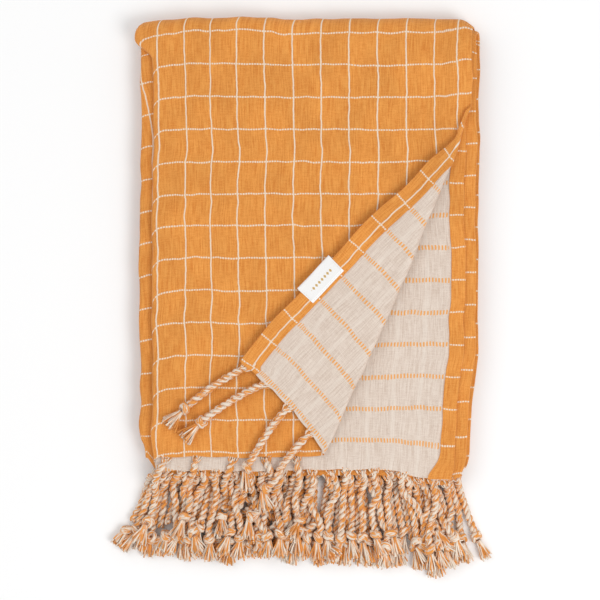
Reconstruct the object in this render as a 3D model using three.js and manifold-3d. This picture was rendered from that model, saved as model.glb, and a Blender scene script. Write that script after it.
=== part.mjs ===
// A fringed throw blanket, folded in four across its width and in four along its length,
// lying flat with the lower right corner of its front layer turned back.
// Millimetres. +Z is up, +Y points to the folded top edge, +X to the open side edges.
import * as THREE from 'three';
import { mergeVertices } from 'three/addons/utils/BufferGeometryUtils.js';
import Module from 'manifold-3d';

const wasm = await Module();
wasm.setup();

// The cloth: a soft double weave, four layers thick in each folded quarter.
const CLOTH_THICKNESS = 1.5;
const LAYER_GAP = 0.3; // clearance between pieces that rest on each other
const PANEL_WIDTH = 325; // a quarter of the cloth's width
const FRONT_LENGTH = 426; // front layer, from the start of the top fold to its hem
const HEM_STEP = 14; // how far the layers under the front one reach past its hem
const SECOND_STEP = 6; // how far the second quarter's hem reaches past those
const SELVEDGE_STEP = 6; // how far the two loose selvedges stay inside the side fold
const FOLD_STEP = 2; // how much shorter than the front layer the two hidden quarters are

// Sideways places of the quarters under the front one, which never line up exactly.
const SECOND_SHIFT = -14;
const THIRD_SHIFT = -5;
const BACK_SHIFT = 5;

// The turned back corner.
const CREASE_DROP = 72; // from the top fold down the selvedge to the crease
const CREASE_SPAN = 151; // from the selvedge along the hem to the crease
const CORNER_LEAN = 24; // how far the selvedge has slanted inwards at the hem
const FLAP_RISE = 3.75; // clear height between the front layer and the flap
const CLOSED_CLEARANCE = 1; // under the flap's hem and tassels when it is turned over again
const CREASE_GAP = 0.25; // from the crease line to each cloth edge
const SIDE_HEM_WIDTH = 20;
const SIDE_HEM_THICKNESS = 1.2;
const SIDE_HEM_START = 24; // from the crease's top end

// The woven label, folded round the flap's selvedge.
const LABEL_LENGTH = 45;
const LABEL_DEPTH = 21;
const LABEL_OVERHANG = 3; // past the selvedge
const LABEL_THICKNESS = 0.6;
const LABEL_DISTANCE = 233; // from the crease's top end to the label's middle
const STITCH_WIDTH = 0.6;
const STITCH_HEIGHT = 0.5;
const STITCH_INSET = 2;

// One tassel: a twisted cord, an overhand knot and a frayed tuft.
const TASSEL_LENGTH = 106;
const ROOT_RADIUS = 1.5;
const CORD_RADIUS = 4;
const KNOT_RADIUS = 5.5;
const KNOT_PLACE = 77; // middle of the knot, from the root
const KNOT_LENGTH = 14;
const TUFT_RADIUS = 5.5;
const ROOT_TAPER = 14;
const TASSEL_GAP = 1; // from the hem to the root
const TASSEL_SIDES = 6;
const FAN_ANGLE = 16; // degrees that the outermost tassels splay outwards
const CREASE_SIDE_PITCH = 33.6; // most between the front tassels that hang next to the crease
const SECOND_TASSEL_OFFSET = 1.3; // from halfway between two front tassels
const FLAP_TASSEL_START = 8; // from the flap's tip to its first tassel
const FLAP_TASSEL_END = 20; // from its last tassel to the crease
const FLAP_TASSEL_PITCH = 33; // between its last two tassels
const HANGING_CLEARANCE = 3.2; // between the flap's last tassel and those it hangs over

// How many tassels each hem carries.
const FRONT_TASSELS = 5;
const CREASE_SIDE_TASSELS = 4; // of those, the ones next to the crease
const FLAP_TASSELS = 4;
const SECOND_TASSELS_LEFT = 5;
const SECOND_TASSELS_RIGHT = 4;
const INNER_TASSELS = 10;

const ARC_STEPS = 6; // chords in a small half circle
const FOLD_ARC_STEPS = 12; // chords in a large one

const ORANGE = new THREE.MeshStandardMaterial({ color: 0xd98f3f, roughness: 0.95, metalness: 0 });
const NATURAL = new THREE.MeshStandardMaterial({ color: 0xdfd0c2, roughness: 0.95, metalness: 0 });
const SPECKLED = new THREE.MeshStandardMaterial({ color: 0xdcab74, roughness: 0.95, metalness: 0 });
const LABEL_WHITE = new THREE.MeshStandardMaterial({ color: 0xeeebe8, roughness: 0.8, metalness: 0 });
const THREAD = new THREE.MeshStandardMaterial({ color: 0xe8e4de, roughness: 0.8, metalness: 0 });

// ---- Heights in the stack ----

const layerPitch = CLOTH_THICKNESS + LAYER_GAP;
const quarterPitch = 4 * layerPitch;
const quarterHeight = quarterPitch - LAYER_GAP;

const quarterBase = (quarter) => quarter * quarterPitch;
const layerMiddle = (quarter, layer) =>
  quarterBase(quarter) + CLOTH_THICKNESS / 2 + layer * layerPitch;

const stackTop = quarterBase(3) + quarterHeight;
const topFoldHeight = quarterBase(2) - LAYER_GAP / 2;
const frontLayerMiddle = layerMiddle(3, 3);
const secondLayerTop = layerMiddle(3, 2) + CLOTH_THICKNESS / 2;
const flapMiddle = stackTop + FLAP_RISE + CLOTH_THICKNESS / 2;
const flapTop = flapMiddle + CLOTH_THICKNESS / 2;
const sideHemBase = flapTop + LAYER_GAP;
const sideHemTop = sideHemBase + SIDE_HEM_THICKNESS;
// The flap turns about this height, so that its hem comes down clear of the layer below.
const creaseHeight = (sideHemTop + secondLayerTop + CLOSED_CLEARANCE) / 2;

// ---- Places in plan ----

const hemY = -FRONT_LENGTH;
const layersHemY = hemY - HEM_STEP;
const secondHemY = layersHemY - SECOND_STEP;
const selvedgeX = PANEL_WIDTH - SELVEDGE_STEP;
const creaseTop = new THREE.Vector2(selvedgeX, -CREASE_DROP);
const creaseFoot = new THREE.Vector2(selvedgeX - CREASE_SPAN, hemY);
const corner = new THREE.Vector2(selvedgeX - CORNER_LEAN, hemY);
const alongCrease = creaseFoot.clone().sub(creaseTop).normalize();
const pastCrease = new THREE.Vector2(-alongCrease.y, alongCrease.x); // towards the corner
const flapTip = acrossCrease(corner);
const alongSelvedge = flapTip.clone().sub(creaseTop).normalize();
const intoFlap = new THREE.Vector2(-alongSelvedge.y, alongSelvedge.x);
const alongFlapHem = creaseFoot.clone().sub(flapTip).normalize();
const pastFlapHem = new THREE.Vector2(alongFlapHem.y, -alongFlapHem.x);

// The mirror image of a plan point on the other side of the crease.
function acrossCrease(point) {
  const offset = point.clone().sub(creaseTop);
  const distance = offset.dot(pastCrease);
  return point.clone().addScaledVector(pastCrease, -2 * distance);
}

// A plan point so far along one direction and so far across it.
function planPoint(origin, along, distance, across, offset) {
  return origin.clone().addScaledVector(along, distance).addScaledVector(across, offset);
}

// ---- Shape helpers ----

// Points of an arc in a section, with angles in degrees.
function arcPoints(x, y, radius, from, to, steps) {
  const points = [];
  for (let i = 0; i <= steps; i += 1) {
    const angle = THREE.MathUtils.degToRad(from + ((to - from) * i) / steps);
    points.push(new THREE.Vector2(x + radius * Math.cos(angle), y + radius * Math.sin(angle)));
  }
  return points;
}

// The outline of a strip of cloth that follows a centre line.
function stripOutline(line, thickness) {
  const sideOf = (sign) =>
    line.map((point, i) => {
      const before = line[Math.max(i - 1, 0)];
      const after = line[Math.min(i + 1, line.length - 1)];
      const first = point.clone().sub(before).normalize();
      const second = after.clone().sub(point).normalize();
      const tangent = first.add(second).normalize();
      const normal = new THREE.Vector2(-tangent.y, tangent.x);
      return point.clone().addScaledVector(normal, (sign * thickness) / 2);
    });
  return new THREE.Shape([...sideOf(1), ...sideOf(-1).reverse()]);
}

// Half of a ring in a section, open towards -X of the section.
function halfRing(y, innerRadius, outerRadius, steps) {
  const outer = arcPoints(0, y, outerRadius, -90, 90, steps);
  const inner = arcPoints(0, y, innerRadius, 90, -90, steps);
  return new THREE.Shape([...outer, ...inner]);
}

// A section drawn in X and Z, extruded from y towards -Y.
function extrudeDown(shape, y, length) {
  const geometry = new THREE.ExtrudeGeometry(shape, { depth: length, bevelEnabled: false });
  return geometry.rotateX(Math.PI / 2).translate(0, y, 0);
}

// A section drawn in Y and Z, extruded from x towards +X.
function extrudeAcross(shape, x, length) {
  const geometry = new THREE.ExtrudeGeometry(shape, { depth: length, bevelEnabled: false });
  const turn = new THREE.Matrix4().set(0, 0, 1, 0, 1, 0, 0, 0, 0, 1, 0, 0, 0, 0, 0, 1);
  return geometry.applyMatrix4(turn).translate(x, 0, 0);
}

// A plan outline extruded upwards.
function extrudeUp(points, base, height) {
  const shape = new THREE.Shape(points);
  const geometry = new THREE.ExtrudeGeometry(shape, { depth: height, bevelEnabled: false });
  return geometry.translate(0, 0, base);
}

// A section extruded from a plan point along a plan direction.
function extrudeAlong(shape, origin, along, length) {
  return extrudeAcross(shape, 0, length)
    .rotateZ(Math.atan2(along.y, along.x))
    .translate(origin.x, origin.y, 0);
}

function toSolid(geometry) {
  const bare = new THREE.BufferGeometry();
  bare.setAttribute('position', geometry.getAttribute('position'));
  bare.setIndex(geometry.getIndex());
  const merged = mergeVertices(bare, 1e-4);
  const vertProperties = new Float32Array(merged.getAttribute('position').array);
  const triVerts = new Uint32Array(merged.getIndex().array);
  return new wasm.Manifold(new wasm.Mesh({ numProp: 3, vertProperties, triVerts }));
}

function subtract(geometry, cutter) {
  const mesh = toSolid(geometry).subtract(toSolid(cutter)).getMesh();
  const cut = new THREE.BufferGeometry();
  cut.setAttribute('position', new THREE.BufferAttribute(mesh.vertProperties, 3));
  cut.setIndex(new THREE.BufferAttribute(mesh.triVerts, 1));
  cut.computeVertexNormals();
  return cut;
}

// ---- The folded cloth ----

// The cloth's run through one quarter, in section: front layer, round the left side under
// the other three, back round the right side, and inwards round the left again.
function quarterSection(base, flipped) {
  const up = flipped ? -1 : 1;
  const middle = base + quarterHeight / 2;
  const outer = 1.5 * layerPitch;
  const inner = 0.5 * layerPitch;
  const left = outer + CLOTH_THICKNESS / 2;
  const right = PANEL_WIDTH - inner - CLOTH_THICKNESS / 2;
  const line = [
    new THREE.Vector2(selvedgeX, outer),
    ...arcPoints(left, 0, outer, 90, 270, ARC_STEPS),
    ...arcPoints(right, -layerPitch, inner, -90, 90, ARC_STEPS),
    ...arcPoints(left, 0, inner, 270, 90, ARC_STEPS),
    new THREE.Vector2(selvedgeX, inner),
  ];
  const placed = line.map((point) => new THREE.Vector2(point.x, middle + up * point.y));
  return stripOutline(placed, CLOTH_THICKNESS);
}

function quarter(index, flipped, shift, endY) {
  const start = -LAYER_GAP / 2;
  const section = quarterSection(quarterBase(index), flipped);
  return extrudeDown(section, start, start - endY).translate(shift, 0, 0);
}

// What the front layer leaves free: the strip past its hem and its turned back corner.
function frontCutter() {
  const margin = 30;
  const inside = (point) => planPoint(point, pastCrease, -CREASE_GAP, alongCrease, 0);
  const top = inside(planPoint(creaseTop, alongCrease, -margin, pastCrease, 0));
  const outline = [
    new THREE.Vector2(-margin, hemY),
    inside(creaseFoot),
    top,
    new THREE.Vector2(PANEL_WIDTH + margin, top.y),
    new THREE.Vector2(PANEL_WIDTH + margin, layersHemY - margin),
    new THREE.Vector2(-margin, layersHemY - margin),
  ];
  return extrudeUp(outline, secondLayerTop + LAYER_GAP / 2, quarterHeight);
}

function bottomFold() {
  const ring = halfRing(quarterHeight + LAYER_GAP / 2, LAYER_GAP / 2, quarterHeight, FOLD_ARC_STEPS);
  const place = hemY + FOLD_STEP - LAYER_GAP;
  return extrudeAcross(ring, -THIRD_SHIFT - PANEL_WIDTH, PANEL_WIDTH)
    .rotateZ(Math.PI)
    .translate(0, place, 0);
}

function topFold(inner, outer, shift) {
  const ring = halfRing(topFoldHeight, inner, outer, FOLD_ARC_STEPS);
  return extrudeAcross(ring, shift, PANEL_WIDTH).translate(0, LAYER_GAP / 2, 0);
}

// ---- The turned back corner ----

function creaseRoll() {
  const radius = (flapMiddle - frontLayerMiddle) / 2;
  const height = (flapMiddle + frontLayerMiddle) / 2;
  const half = CLOTH_THICKNESS / 2;
  const ring = halfRing(height, radius - half, radius + half, ARC_STEPS);
  const origin = planPoint(creaseTop, alongCrease, 0, pastCrease, CREASE_GAP);
  return extrudeAlong(ring, origin, alongCrease, creaseTop.distanceTo(creaseFoot));
}

function cornerFlap() {
  const top = planPoint(creaseTop, pastCrease, -CREASE_GAP, alongCrease, 0);
  const foot = planPoint(creaseFoot, pastCrease, -CREASE_GAP, alongCrease, 0);
  return extrudeUp([top, flapTip, foot], flapMiddle - CLOTH_THICKNESS / 2, CLOTH_THICKNESS);
}

function flapSideHem() {
  const toTip = creaseTop.distanceTo(flapTip);
  const angle = alongSelvedge.angleTo(alongCrease);
  const innerStart = SIDE_HEM_START + SIDE_HEM_WIDTH / Math.tan(angle);
  const outline = [
    planPoint(creaseTop, alongSelvedge, SIDE_HEM_START, intoFlap, 0),
    flapTip,
    planPoint(creaseTop, alongSelvedge, toTip, intoFlap, SIDE_HEM_WIDTH),
    planPoint(creaseTop, alongSelvedge, innerStart, intoFlap, SIDE_HEM_WIDTH),
  ];
  return extrudeUp(outline, sideHemBase, SIDE_HEM_THICKNESS);
}

const labelBack = flapMiddle - CLOTH_THICKNESS / 2 - LAYER_GAP - LABEL_THICKNESS;
const labelFront = sideHemTop + LAYER_GAP + LABEL_THICKNESS;

// The label's section: two leaves with the flap between them, joined past the selvedge.
function labelSection() {
  const wall = LABEL_THICKNESS;
  const outer = -LABEL_OVERHANG;
  const open = LABEL_DEPTH - LABEL_OVERHANG;
  return new THREE.Shape([
    new THREE.Vector2(open, labelFront),
    new THREE.Vector2(outer + wall, labelFront),
    new THREE.Vector2(outer, labelFront - wall),
    new THREE.Vector2(outer, labelBack + wall),
    new THREE.Vector2(outer + wall, labelBack),
    new THREE.Vector2(open, labelBack),
    new THREE.Vector2(open, labelBack + wall),
    new THREE.Vector2(outer + wall, labelBack + wall),
    new THREE.Vector2(outer + wall, labelFront - wall),
    new THREE.Vector2(open, labelFront - wall),
  ]);
}

function wovenLabel() {
  const start = LABEL_DISTANCE - LABEL_LENGTH / 2;
  const origin = planPoint(creaseTop, alongSelvedge, start, intoFlap, 0);
  return extrudeAlong(labelSection(), origin, alongSelvedge, LABEL_LENGTH);
}

function labelStitching() {
  const near = LABEL_DEPTH - LABEL_OVERHANG - STITCH_INSET - STITCH_WIDTH;
  const base = labelFront + LAYER_GAP;
  const section = new THREE.Shape([
    new THREE.Vector2(near, base),
    new THREE.Vector2(near + STITCH_WIDTH, base),
    new THREE.Vector2(near + STITCH_WIDTH, base + STITCH_HEIGHT),
    new THREE.Vector2(near, base + STITCH_HEIGHT),
  ]);
  const start = LABEL_DISTANCE - LABEL_LENGTH / 2 + STITCH_INSET;
  const origin = planPoint(creaseTop, alongSelvedge, start, intoFlap, 0);
  return extrudeAlong(section, origin, alongSelvedge, LABEL_LENGTH - 2 * STITCH_INSET);
}

// ---- The fringe ----

const fullRadius = Math.max(KNOT_RADIUS, TUFT_RADIUS);
const lowerTier = fullRadius + LAYER_GAP; // tassels that lie on the table
const upperTier = lowerTier + 2 * fullRadius + LAYER_GAP; // and those on top of them
const onFrontLayer = stackTop + LAYER_GAP + fullRadius;

// Radius against distance from the root, from one point on the axis to another.
function tasselProfile() {
  const cordEnd = KNOT_PLACE - KNOT_LENGTH / 2;
  const knotEnd = KNOT_PLACE + KNOT_LENGTH / 2;
  const cordSteps = 4;
  const profile = [[0, 0], [ROOT_RADIUS, 0]];
  for (let i = 0; i <= cordSteps; i += 1) {
    profile.push([CORD_RADIUS, ROOT_TAPER + ((cordEnd - ROOT_TAPER) * i) / cordSteps]);
  }
  profile.push([KNOT_RADIUS, KNOT_PLACE - KNOT_LENGTH / 4]);
  profile.push([KNOT_RADIUS, KNOT_PLACE + KNOT_LENGTH / 4]);
  profile.push([CORD_RADIUS, knotEnd]);
  profile.push([TUFT_RADIUS, TASSEL_LENGTH - 4]);
  profile.push([TUFT_RADIUS - 1, TASSEL_LENGTH]);
  profile.push([0, TASSEL_LENGTH]);
  return profile.map(([radius, distance]) => new THREE.Vector2(radius, distance));
}

// The height of a tassel's centre line: level from its root to `bend`, then down (or up)
// to where it lies at `settled`, both distances along it.
function heightAlong(distance, route) {
  if (distance <= route.bend) {
    const share = route.bend > 0 ? distance / route.bend : 1;
    return THREE.MathUtils.lerp(route.rootHeight, route.crest, Math.sin((share * Math.PI) / 2));
  }
  const share = Math.min((distance - route.bend) / (route.settled - route.bend), 1);
  return THREE.MathUtils.lerp(route.crest, route.rest, (1 - Math.cos(share * Math.PI)) / 2);
}

// A centre line that leaves its root on one heading and turns evenly to another.
function tasselCurve(root, route) {
  const steps = 12;
  const stride = TASSEL_LENGTH / steps;
  const points = [];
  const place = root.clone();
  for (let i = 0; i <= steps; i += 1) {
    const height = heightAlong(i * stride, route);
    points.push(new THREE.Vector3(place.x, place.y, height));
    const drop = heightAlong((i + 1) * stride, route) - height;
    const level = Math.sqrt(Math.max(stride * stride - drop * drop, 0));
    const heading = THREE.MathUtils.lerp(route.heading, route.endHeading, (i + 0.5) / steps);
    const angle = THREE.MathUtils.degToRad(heading);
    place.x += level * Math.cos(angle);
    place.y += level * Math.sin(angle);
  }
  return new THREE.CatmullRomCurve3(points);
}

// A turned body bent along a curve.
function tassel(root, route) {
  const curve = tasselCurve(root, route);
  const geometry = new THREE.LatheGeometry(tasselProfile(), TASSEL_SIDES);
  const position = geometry.getAttribute('position');
  const up = new THREE.Vector3(0, 0, 1);
  for (let i = 0; i < position.count; i += 1) {
    const share = THREE.MathUtils.clamp(position.getY(i) / TASSEL_LENGTH, 0, 1);
    const centre = curve.getPointAt(share);
    const tangent = curve.getTangentAt(share);
    const side = new THREE.Vector3().crossVectors(tangent, up).normalize();
    const rise = new THREE.Vector3().crossVectors(side, tangent);
    centre.addScaledVector(side, position.getX(i)).addScaledVector(rise, position.getZ(i));
    position.setXYZ(i, centre.x, centre.y, centre.z);
  }
  geometry.computeVertexNormals();
  return geometry;
}

// Tassels splay outwards, more so towards the sides.
function splay(x) {
  return 270 + (FAN_ANGLE * (x - PANEL_WIDTH / 2)) / (PANEL_WIDTH / 2);
}

function rowTassel(x, y, heights) {
  const heading = splay(x);
  const root = new THREE.Vector2(x, y - TASSEL_GAP);
  return tassel(root, { ...heights, heading, endHeading: heading });
}

// The tassels next to the crease keep their distances from it, because the flap's tassels
// hang between them, unless the hem is too short for that. The others share the rest of it.
function frontTasselPlace(index) {
  const shared = FRONT_TASSELS - CREASE_SIDE_TASSELS;
  const pitch = Math.min(CREASE_SIDE_PITCH, creaseFoot.x / FRONT_TASSELS);
  if (index >= shared) {
    return creaseFoot.x - pitch * (FRONT_TASSELS - index - 0.5);
  }
  const rest = creaseFoot.x - pitch * CREASE_SIDE_TASSELS;
  return (rest * (index + 0.5)) / shared;
}

// The front layer's tassels first pass over the hem of the layer below.
function frontTassel(index) {
  const x = frontTasselPlace(index);
  const crest = secondLayerTop + 4 * LAYER_GAP + CORD_RADIUS;
  const rootHeight = secondLayerTop + LAYER_GAP + ROOT_RADIUS;
  return rowTassel(x, hemY, {
    rootHeight, crest, rest: upperTier, bend: HEM_STEP + 10, settled: HEM_STEP + 48,
  });
}

// The next layer's tassels hang between the front ones.
function secondTasselPlace(index) {
  if (index < SECOND_TASSELS_LEFT) {
    const before = index > 0 ? frontTasselPlace(index - 1) : -frontTasselPlace(0);
    return (before + frontTasselPlace(index)) / 2 + SECOND_TASSEL_OFFSET;
  }
  // The closing flap's last tassel comes down beside the crease, so that place stays free.
  const place = (index - SECOND_TASSELS_LEFT + 1.3) / (SECOND_TASSELS_RIGHT + 1);
  return creaseFoot.x + CREASE_SPAN * place;
}

function secondTassel(index) {
  const height = layerMiddle(3, 2);
  return rowTassel(secondTasselPlace(index), layersHemY, {
    rootHeight: height, crest: height, rest: upperTier, bend: 12, settled: 45,
  });
}

// The second quarter's tassels, from its top layer and its bottom one in turn across.
function innerTassel(index, layer, phase) {
  const x = (PANEL_WIDTH * (index + phase)) / INNER_TASSELS;
  const height = layerMiddle(2, layer);
  return rowTassel(x, secondHemY, {
    rootHeight: height, crest: height, rest: lowerTier, bend: 0, settled: 30,
  });
}

// The flap's tassels lie over the front layer, and the last two hang past its hem.
// Each leaves its root this many degrees off the straight line to the gap that it aims at.
const FLAP_ROOT_TURNS = [-30.89, -30.50, -9.53, 19.07];
const FLAP_END_HEADINGS = [245, 245, 275, 275];

// The last two keep their distances from the crease, and the others share the rest.
function flapTasselPlace(index) {
  const hem = flapTip.distanceTo(creaseFoot);
  if (index >= FLAP_TASSELS - 2) {
    return hem - FLAP_TASSEL_END - FLAP_TASSEL_PITCH * (FLAP_TASSELS - 1 - index);
  }
  const rest = hem - FLAP_TASSEL_START - FLAP_TASSEL_END - FLAP_TASSEL_PITCH;
  return FLAP_TASSEL_START + (rest * index) / (FLAP_TASSELS - 2);
}

// The direction from a root to the middle of the gap between two of the front tassels.
function headingToGap(index, root) {
  const next = index + FRONT_TASSELS - FLAP_TASSELS;
  const gap = (frontTasselPlace(next - 1) + frontTasselPlace(next)) / 2;
  return 360 + THREE.MathUtils.radToDeg(Math.atan2(hemY - root.y, gap - root.x));
}

function flapTassel(index) {
  const along = flapTasselPlace(index);
  const root = planPoint(flapTip, alongFlapHem, along, pastFlapHem, TASSEL_GAP);
  const heading = headingToGap(index, root) + FLAP_ROOT_TURNS[index];
  const endHeading = FLAP_END_HEADINGS[index];
  const last = index === FLAP_TASSELS - 1;
  const hanging = upperTier + CORD_RADIUS + fullRadius + HANGING_CLEARANCE;
  return tassel(root, {
    heading,
    endHeading,
    rootHeight: flapMiddle,
    crest: onFrontLayer,
    rest: last ? hanging : onFrontLayer,
    bend: last ? 55 : 20,
    settled: last ? 88 : 50,
  });
}

// ---- The assembly ----

const blanket = new THREE.Group();

function add(name, geometry, material) {
  const mesh = new THREE.Mesh(geometry, material);
  mesh.name = name;
  blanket.add(mesh);
}

function addTassels(name, count, make) {
  for (let i = 0; i < count; i += 1) {
    add(`${name}_${i + 1}`, make(i), SPECKLED);
  }
}

const hiddenEndY = hemY + FOLD_STEP;
const outerFoldInner = quarterBase(3) - topFoldHeight;
const innerFoldOuter = quarterBase(2) + quarterHeight - topFoldHeight;

add('back_quarter', quarter(0, true, BACK_SHIFT, hiddenEndY), ORANGE);
add('third_quarter', quarter(1, false, THIRD_SHIFT, hiddenEndY), ORANGE);
add('second_quarter', quarter(2, true, SECOND_SHIFT, secondHemY), ORANGE);
add('front_quarter', subtract(quarter(3, false, 0, layersHemY), frontCutter()), ORANGE);
add('outer_top_fold', topFold(outerFoldInner, stackTop - topFoldHeight, 0), ORANGE);
add('inner_top_fold', topFold(LAYER_GAP / 2, innerFoldOuter, SECOND_SHIFT), ORANGE);
add('bottom_fold', bottomFold(), ORANGE);
add('crease_roll', creaseRoll(), ORANGE);
add('corner_flap', cornerFlap(), NATURAL);
add('flap_side_hem', flapSideHem(), ORANGE);
add('woven_label', wovenLabel(), LABEL_WHITE);
add('label_stitching', labelStitching(), THREAD);
addTassels('front_tassel', FRONT_TASSELS, frontTassel);
addTassels('flap_tassel', FLAP_TASSELS, flapTassel);
addTassels('second_tassel', SECOND_TASSELS_LEFT + SECOND_TASSELS_RIGHT, secondTassel);
addTassels('inner_tassel', INNER_TASSELS, (i) => innerTassel(i, 3, 0.3));
addTassels('lower_tassel', INNER_TASSELS, (i) => innerTassel(i, 0, -0.2));

// The origin is under the middle of the whole object.
const bounds = new THREE.Box3().setFromObject(blanket);
const middle = bounds.getCenter(new THREE.Vector3());
blanket.position.set(-middle.x, -middle.y, -bounds.min.z);

// The two hinge lines, each a point on it and its direction, in the finished frame.
// A positive turn opens the fold.
const creasePoint = new THREE.Vector3(creaseTop.x, creaseTop.y, creaseHeight);
blanket.userData.hinges = {
  topFold: {
    point: new THREE.Vector3(PANEL_WIDTH / 2, 0, topFoldHeight).add(blanket.position),
    axis: new THREE.Vector3(-1, 0, 0),
  },
  cornerFlap: {
    point: creasePoint.add(blanket.position),
    axis: new THREE.Vector3(-alongCrease.x, -alongCrease.y, 0),
  },
};

export default blanket;
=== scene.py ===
import math

import bmesh
import bpy
import numpy as np
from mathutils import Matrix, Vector


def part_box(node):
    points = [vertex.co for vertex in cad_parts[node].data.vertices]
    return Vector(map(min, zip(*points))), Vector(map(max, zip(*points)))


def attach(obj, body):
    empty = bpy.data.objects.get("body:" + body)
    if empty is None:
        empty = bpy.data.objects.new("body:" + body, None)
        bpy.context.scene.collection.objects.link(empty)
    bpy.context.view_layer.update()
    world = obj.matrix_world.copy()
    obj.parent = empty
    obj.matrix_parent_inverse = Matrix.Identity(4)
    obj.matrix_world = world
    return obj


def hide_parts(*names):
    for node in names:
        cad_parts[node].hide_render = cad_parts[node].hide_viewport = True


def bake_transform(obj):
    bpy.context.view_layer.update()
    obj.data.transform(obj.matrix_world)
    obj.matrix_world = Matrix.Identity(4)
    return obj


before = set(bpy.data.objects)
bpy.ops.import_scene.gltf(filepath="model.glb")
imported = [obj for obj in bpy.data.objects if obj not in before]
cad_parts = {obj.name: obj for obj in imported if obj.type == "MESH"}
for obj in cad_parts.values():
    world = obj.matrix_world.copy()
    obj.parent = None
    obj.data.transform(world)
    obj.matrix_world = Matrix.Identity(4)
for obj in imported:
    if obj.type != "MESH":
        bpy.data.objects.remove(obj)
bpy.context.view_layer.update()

# A fringed throw blanket: one woven sheet, folded in four across its width and in four along
# its length, with the lower right corner of its front layer turned back. Lengths are in
# millimetres, in the plan of the folded cloth: x = 0 at the front quarter's left fold and
# y = 0 at the top fold. place_in_frame() turns them into the frame's metres.
MM = 0.001

# ---- Sizes of the folded cloth ----

CLOTH = 0.8  # thickness of the woven cloth
LAYER_PITCH = 1.8
QUARTER_PITCH = 4 * LAYER_PITCH
QUARTER_MIDDLE = 3.45  # from a quarter's base to the middle of its four layers
PANEL_WIDTH = 325
SELVEDGE_X = 319  # the front layer's selvedge
BACK_SELVEDGE_X = 312  # where the second layer's selvedge shows
HIDDEN_SELVEDGE_X = 297  # the same selvedge in the quarters underneath
TURN = 0.43  # radius of a turned hem
SIDE_HEM = 20
BACK_HEM = 14
FRONT_HEM_Y = -426
LAYER_HEM_Y = -440
SECOND_HEM_Y = -446
HIDDEN_END_Y = -433
STACK_HEIGHT = 28.5
TOP_AXIS = 14.25
BOTTOM_AXIS = 7.05
SHIFTS = {"back": 5, "third": -5, "second": -14, "front": 0}

# The turned back corner.
CREASE_TOP = np.array([319.0, -72.0])
CREASE_FOOT = np.array([168.0, -426.0])
CORNER_TARGET = np.array([88.0, -331.0])  # where the corner lies once it is turned back
ALONG = (CREASE_FOOT - CREASE_TOP) / np.linalg.norm(CREASE_FOOT - CREASE_TOP)
PAST = np.array([-ALONG[1], ALONG[0]])

# The weave.
WARP_PITCH = 28  # between the off-white lines that run along the throw
WEFT_PITCH = 32.3  # and between those that run across it
FIRST_WARP = 14
FIRST_WEFT = 4

# The fringe.
TASSEL_PITCH = 32.5
TASSEL_LENGTH = 100
TASSEL_STEP = 4
CORD_RADIUS = 3.9
PLY_RADIUS = 2.15
PLY_OFFSET = 1.85
TWIST_PITCH = 12.5
KNOT_START = 70
KNOT_END = 83
TUFT_REACH = 20


# ---- Small helpers ----

def place_in_frame(points):
    """Plan millimetres to the row frame's metres."""
    low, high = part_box("front_quarter")
    origin = np.array([low[0], high[1] + 0.15 * MM, 0.0])
    return np.asarray(points, float) * MM + origin


def ease(t):
    """0 before 0, 1 after 1, and smooth between."""
    t = np.clip(t, 0, 1)
    return t * t * (3 - 2 * t)


def bump(t, centre, half_width):
    """1 at the centre, falling smoothly to 0 at half_width to each side."""
    return ease(1 - np.abs(np.asarray(t) - centre) / half_width)


def plane_noise(x, y, seed):
    """Smooth noise from -1 to 1 over the plane, with one lattice cell per unit."""
    lattice = np.random.default_rng(seed).uniform(-1, 1, (64, 64))
    x, y = np.broadcast_arrays(np.asarray(x, float), np.asarray(y, float))
    column, row = np.floor(x).astype(int), np.floor(y).astype(int)
    across, up = ease(x - column), ease(y - row)
    low = lattice[column % 64, row % 64] * (1 - across)
    low = low + lattice[(column + 1) % 64, row % 64] * across
    high = lattice[column % 64, (row + 1) % 64] * (1 - across)
    high = high + lattice[(column + 1) % 64, (row + 1) % 64] * across
    return low * (1 - up) + high * up


def spread(start, end, step):
    """Evenly spaced values from start to end, at most a step apart."""
    return np.linspace(start, end, max(1, math.ceil(abs(end - start) / step)) + 1)


def run_length(line):
    """The distance along a line at each of its points."""
    return np.concatenate([[0], np.cumsum(np.linalg.norm(np.diff(line, axis=0), axis=1))])


def new_object(name, data):
    obj = bpy.data.objects.new(name, data)
    bpy.context.scene.collection.objects.link(obj)
    return obj


# ---- How the ideal folds settle into a soft pile ----

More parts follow.
